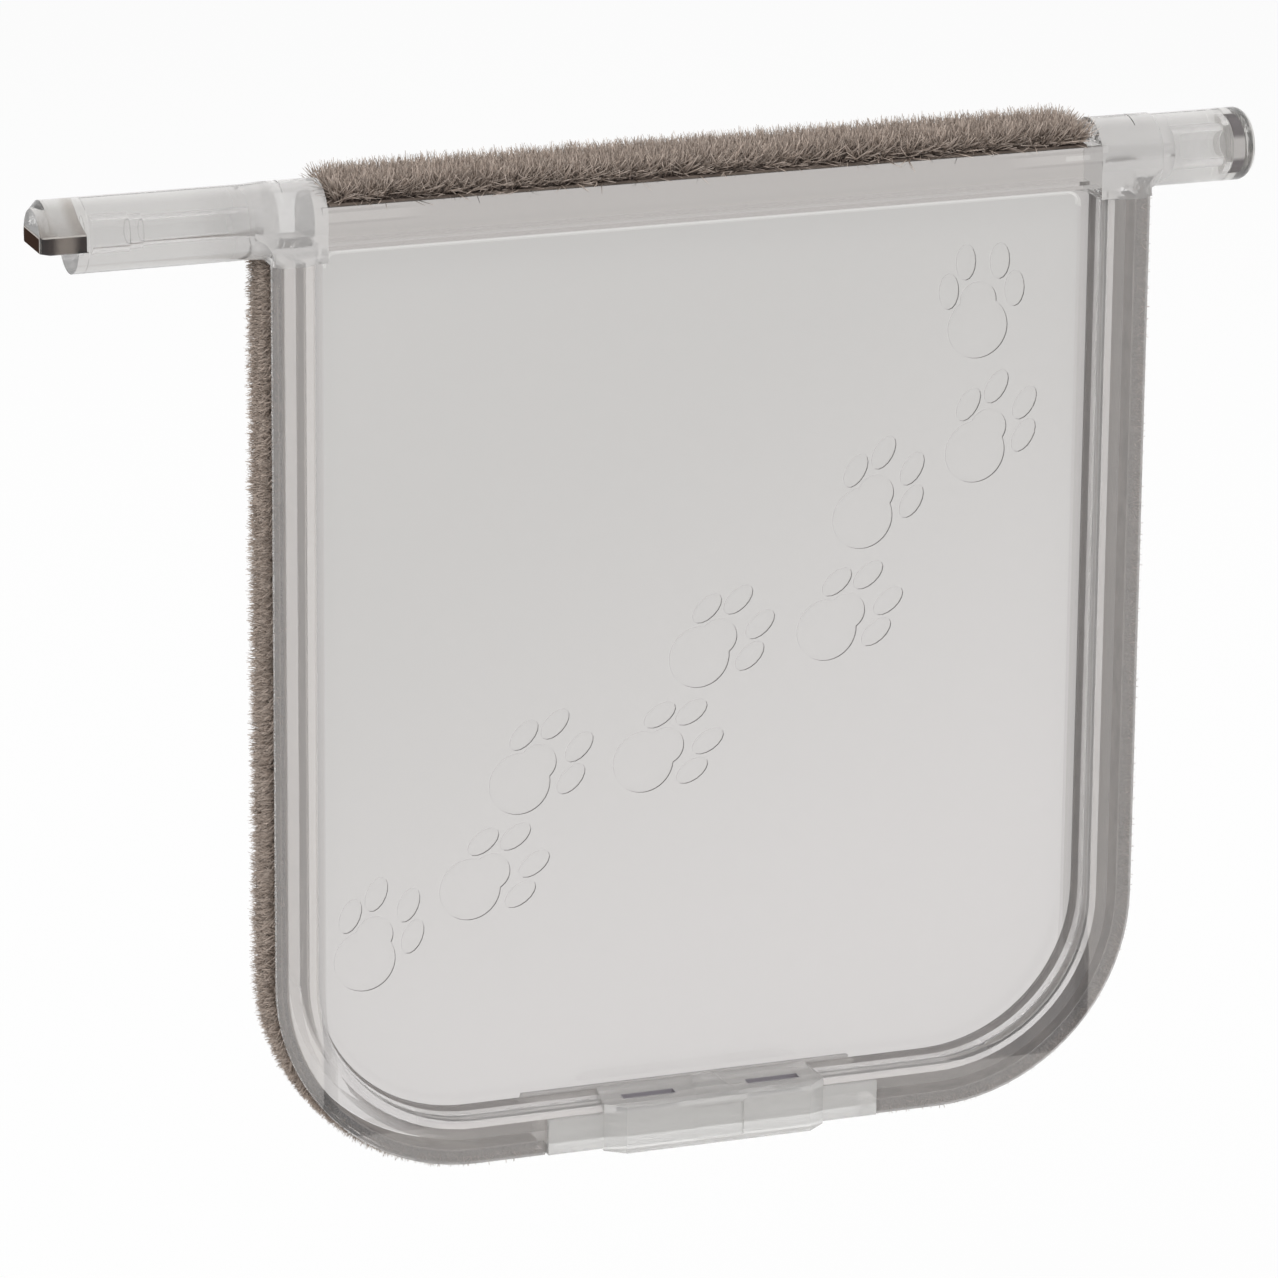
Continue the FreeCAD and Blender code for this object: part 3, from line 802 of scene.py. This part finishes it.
ground = {"Mesh": given["Geometry"], "Density": given["Density"], "Seed": given["Seed"]}
scatter = node(fibres, "GeometryNodeDistributePointsOnFaces", ground).outputs
lengths = {2: SHORTEST_SHARE, 3: 1.0, "Seed": REACH_SEED}
share = node(fibres, "FunctionNodeRandomValue", lengths, 1, data_type="FLOAT")
reach = node(fibres, MATH, (share, given["Length"]), 0, operation="MULTIPLY")
copies = {
    "Points": scatter["Points"],
    "Instance": fibre,
    "Rotation": turned(fibres, scatter["Rotation"]),
    "Scale": node(fibres, "ShaderNodeCombineXYZ", (1.0, 1.0, reach), 0),
}
planted = node(fibres, "GeometryNodeInstanceOnPoints", copies, 0)
print("blades are", SHORTEST_SHARE, "to 1 of the given length")

# %% Give each blade a tone and make the mesh
TONE_SEED = 23
PER_BLADE = {"data_type": "FLOAT", "domain": "INSTANCE"}

tones = {2: 0.0, 3: 1.0, "Seed": TONE_SEED}
tone = node(fibres, "FunctionNodeRandomValue", tones, 1, data_type="FLOAT")
marks = {"Geometry": planted, "Name": "own", "Value": tone}
marked = node(fibres, "GeometryNodeStoreNamedAttribute", marks, 0, **PER_BLADE)
real = node(fibres, "GeometryNodeRealizeInstances", {"Geometry": marked}, 0)
dressed = {"Geometry": real, "Material": given["Material"]}
pile = node(fibres, "GeometryNodeSetMaterial", dressed, 0)
node(fibres, "NodeGroupOutput", {"Geometry": pile})
print("fibre tree has", len(fibres.nodes), "nodes")

# %% [markdown]
# The tree runs as a modifier on a ground mesh. Its result is copied to a plain mesh at once and
# the modifier is taken off, so nothing has to be worked out again later.

# %% Grow a pile on a ground
BEND = 1.8 * MM


def grown(name, ground, growth, seed):
    """Run the fibre tree on a ground mesh and keep the result as a plain mesh."""
    carrier = bpy.data.objects.new(name, ground)
    bpy.context.scene.collection.objects.link(carrier)
    modifier = carrier.modifiers.new("fibres", "NODES")
    modifier.node_group = fibres
    values = {**growth, "Bend": BEND, "Seed": seed}
    for item in fibres.interface.items_tree:
        if item.in_out == "INPUT" and item.name in values:
            modifier[item.identifier] = values[item.name]
    view = bpy.context.evaluated_depsgraph_get()
    mesh = bpy.data.meshes.new_from_object(carrier.evaluated_get(view))
    carrier.modifiers.clear()
    carrier.data = mesh
    return carrier


# %% Tape as a closed bar
TAPE_T = 0.35 * MM


def bar(name, rings, tape):
    """Join rings of four corners into one closed bar of tape."""
    form = bmesh.new()
    rows = [[form.verts.new(c) for c in ring] for ring in rings]
    for a, b in zip(rows, rows[1:]):
        for i in range(4):
            j = (i + 1) % 4
            form.faces.new((a[i], a[j], b[j], b[i]))
    form.faces.new(rows[0][::-1])
    form.faces.new(rows[-1])
    bmesh.ops.recalc_face_normals(form, faces=form.faces)
    made = bpy.data.meshes.new(name)
    form.to_mesh(made)
    form.free()
    made.materials.append(tape)
    under = bpy.data.objects.new(name, made)
    bpy.context.scene.collection.objects.link(under)
    return under


# %% Let a grown strip stand for the plain one
def strip(hair, under, node_name):
    """Hang a pile and its tape on the part's frame in place of the CAD strip."""
    for piece in (hair, under):
        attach(piece, "root")
    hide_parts(node_name)
    print(hair.name, len(hair.data.polygons), "faces")


# %% [markdown]
# ## Top strip
# One strip stands on the top bar between the two hubs, with fibres of just under 5 mm that cross
# and tangle. It ends 2 mm short of the right hub. The ground is inset a little, because the outer
# fibres lean out over the tape's edges.

# %% Ground and tape of the top strip
TOP_X = (-65.6 * MM, 63.4 * MM)
TOP_Y = (-5.4 * MM, 5.4 * MM)
BAR_TOP_Z = 2.75 * MM
TOP_INSET_X = (1.2 * MM, 0.7 * MM)
TOP_INSET_Y = (0.45 * MM, 0.2 * MM)

z = BAR_TOP_Z + TAPE_T
x0, x1 = TOP_X[0] + TOP_INSET_X[0], TOP_X[1] - TOP_INSET_X[1]
y0, y1 = TOP_Y[0] + TOP_INSET_Y[0], TOP_Y[1] - TOP_INSET_Y[1]
top_ground = bpy.data.meshes.new("top_ground")
top_ground.from_pydata([(x0, y0, z), (x1, y0, z), (x1, y1, z), (x0, y1, z)], [], [(0, 1, 2, 3)])
top_rings = [
    [(x, TOP_Y[0], BAR_TOP_Z), (x, TOP_Y[1], BAR_TOP_Z), (x, TOP_Y[1], z), (x, TOP_Y[0], z)]
    for x in TOP_X
]
print("top strip", round((TOP_X[1] - TOP_X[0]) / MM, 1), "mm long")

# %% Top strip
top_growth = {
    "Material": top_nylon,
    "Density": 30e6,
    "Length": 4.7 * MM,
    "Width": 0.25 * MM,
    "Lean": 0.8,
    "Tuft Lean": 2.8,
}
strip(
    grown("top_pile", top_ground, top_growth, seed=3),
    bar("top_pile_tape", top_rings, top_tape),
    "top_brush_strip",
)

# %% [markdown]
# ## Side strips
# A strip is glued to the outer wall of the rim on each side. It runs down from the hub, round the
# lower corner and along the bottom as far as the clip. One list of points along that line gives
# both the ground of the fibres and the tape, so they can't come apart. The fibres are shorter,
# straighter and more even than on top.

# %% Line of the side strips
SIDE_TOP_Z = -7.0 * MM
CORNER_STEPS = 24


def side_path(depth):
    """Points of the left strip's line at a depth in from the leaf's edge, from top to middle."""
    corner = Vector((-EDGE_X + CORNER_R, BOTTOM_Z + CORNER_R))
    r = CORNER_R - depth
    points = [Vector((-EDGE_X + depth, SIDE_TOP_Z))]
    for i in range(CORNER_STEPS + 1):
        angle = math.pi + math.pi / 2 * i / CORNER_STEPS
        points.append(corner + Vector((math.cos(angle), math.sin(angle))) * r)
    points.append(Vector((-SIDE_STOP_X, BOTTOM_Z + depth)))
    return points


print("side line has", len(side_path(0)), "points")

# %% Ground of a side strip
SIDE_INSET_Y = (0.6 * MM, 0.25 * MM)


def side_ground(way):
    """The face that the fibres stand on, on the left for way 1 and on the right for -1."""
    line = side_path(WALL_IN - TAPE_T)
    corners = []
    for p in line:
        corners.append((way * p.x, SIDE_Y[0] + SIDE_INSET_Y[0], p.y))
        corners.append((way * p.x, SIDE_Y[1] - SIDE_INSET_Y[1], p.y))
    faces = []
    for i in range(len(line) - 1):
        quad = (2 * i, 2 * i + 1, 2 * i + 3, 2 * i + 2)
        faces.append(quad if way > 0 else quad[::-1])
    made = bpy.data.meshes.new("side_ground")
    made.from_pydata(corners, [], faces)
    made.validate()
    return made


# %% Tape of a side strip
GLUE_GAP = 0.08 * MM


def side_rings(way):
    """Rings of the tape, just clear of the wall that it is glued to."""
    rings = []
    for a, b in zip(side_path(WALL_IN - TAPE_T), side_path(WALL_IN - GLUE_GAP)):
        spots = ((a, SIDE_Y[0]), (a, SIDE_Y[1]), (b, SIDE_Y[1]), (b, SIDE_Y[0]))
        rings.append([(way * p.x, y, p.y) for p, y in spots])
    return rings


# %% Side strips
side_growth = {
    "Material": side_nylon,
    "Density": 29e6,
    "Length": 2.85 * MM,
    "Width": 0.26 * MM,
    "Lean": 0.5,
    "Tuft Lean": 2.0,
}
for side, way, tape, seed in (("left", 1, left_tape, 7), ("right", -1, right_tape, 9)):
    strip(
        grown(side + "_pile", side_ground(way), side_growth, seed),
        bar(side + "_pile_tape", side_rings(way), tape),
        side + "_brush_strip",
    )
